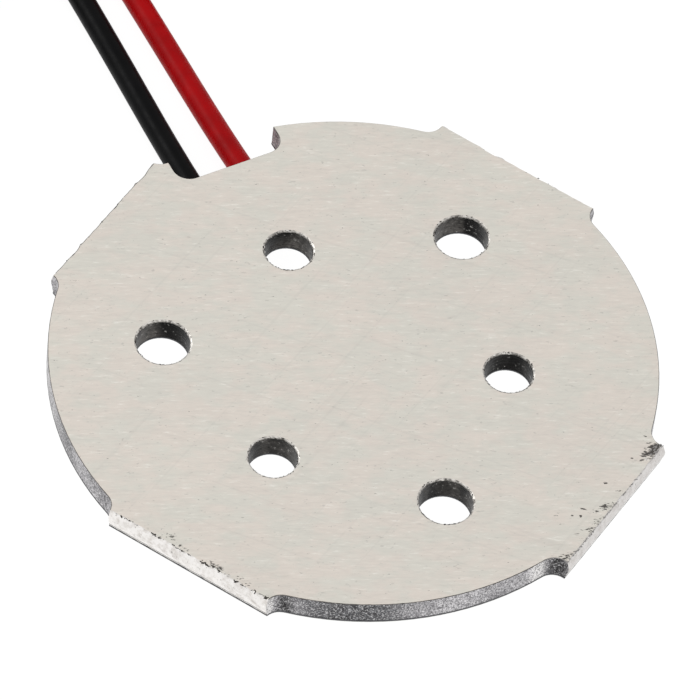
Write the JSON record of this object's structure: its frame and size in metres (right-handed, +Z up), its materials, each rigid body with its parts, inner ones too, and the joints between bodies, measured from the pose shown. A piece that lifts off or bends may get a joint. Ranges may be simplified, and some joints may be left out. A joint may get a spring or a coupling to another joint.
{
  "type": "led cluster board",
  "caption": "Round aluminium-core LED cluster board lying component side down, with screw and lens-peg holes, snapped panel tabs, a wire notch and coiled red and black leads.",
  "frame": {"origin": "On the axis of the drilled hole pattern, at the height of the surface that the LED domes stand on.", "axes": "+Z up, out of the bare aluminium face. +Y towards the scored tab beside a screw hole, with the wire notch at 150 degrees anticlockwise from +X seen from above."},
  "size_m": [0.07, 0.0554, 0.0036],
  "materials": {
    "bare_aluminium": "rolled, satin, bare",
    "dielectric": "cured resin film",
    "copper": "etched copper foil",
    "solder_mask": "white lacquer, semi-gloss",
    "print_ink": "screen-printed",
    "solder": "smooth reflowed tin alloy",
    "plated_terminal": "flash gold plate",
    "led_ceramic": "sintered, matte",
    "led_die": "polished",
    "phosphor": "yellow converter, matte",
    "silicone_dome": "clear cast silicone",
    "red_jacket": "soft PVC, semi-gloss",
    "black_jacket": "soft PVC, semi-gloss",
    "tinned_wire": "tinned copper strands",
    "twist_tie": "plastic-coated tie strip"
  },
  "bodies": {
    "root": {"aluminium_base": "bare_aluminium", "dielectric_layer": "dielectric", "copper_positive": "copper", "copper_negative": "copper", "copper_link_a": "copper", "copper_link_b": "copper", "copper_thermal_pads": "copper", "solder_mask": "solder_mask", "polarity_marks": "print_ink", "led_1_solder": "solder", "led_2_solder": "solder", "led_3_solder": "solder", "red_solder_joint": "solder", "black_solder_joint": "solder", "led_1_terminals": "plated_terminal", "led_2_terminals": "plated_terminal", "led_3_terminals": "plated_terminal", "led_1_substrate": "led_ceramic", "led_2_substrate": "led_ceramic", "led_3_substrate": "led_ceramic", "led_1_die": "led_die", "led_2_die": "led_die", "led_3_die": "led_die", "led_1_converter": "phosphor", "led_2_converter": "phosphor", "led_3_converter": "phosphor", "led_1_dome": "silicone_dome", "led_2_dome": "silicone_dome", "led_3_dome": "silicone_dome", "red_lead": "red_jacket", "red_lead_coil": "red_jacket", "red_lead_tail": "red_jacket", "black_lead": "black_jacket", "black_lead_coil": "black_jacket", "black_lead_tail": "black_jacket", "red_lead_tip": "tinned_wire", "black_lead_tip": "tinned_wire", "red_lead_strands": "tinned_wire", "black_lead_strands": "tinned_wire", "red_lead_tie": "twist_tie", "black_lead_tie": "twist_tie"}
  },
  "joints": []
}
